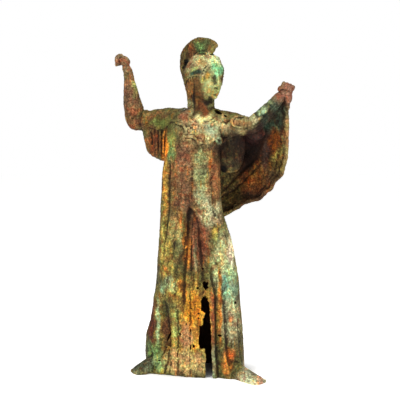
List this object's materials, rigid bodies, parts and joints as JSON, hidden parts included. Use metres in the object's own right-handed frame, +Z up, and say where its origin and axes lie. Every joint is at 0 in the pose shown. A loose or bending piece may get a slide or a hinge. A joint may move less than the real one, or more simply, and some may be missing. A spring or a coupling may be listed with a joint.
{
  "type": "bronze goddess statue",
  "caption": "Hollow-cast bronze figure of a striding goddess in a crested helmet and long pleated robe, one arm raised and a mantle hung over the other, that stands on its hem and feet.",
  "frame": {"origin": "middle of the statue's outline seen from above, on the surface that the hem and the feet stand on", "axes": "+Z up along the figure, -Y towards the viewer that the torso faces, +X to that viewer's right"},
  "size_m": [0.7612, 0.4064, 1.443],
  "materials": {
    "patinated_bronze": "cast bronze, corroded all over to a rough matt crust of green, mint, ochre and red-brown"
  },
  "bodies": {
    "root": {"goddess_statue": "patinated_bronze"}
  },
  "joints": []
}
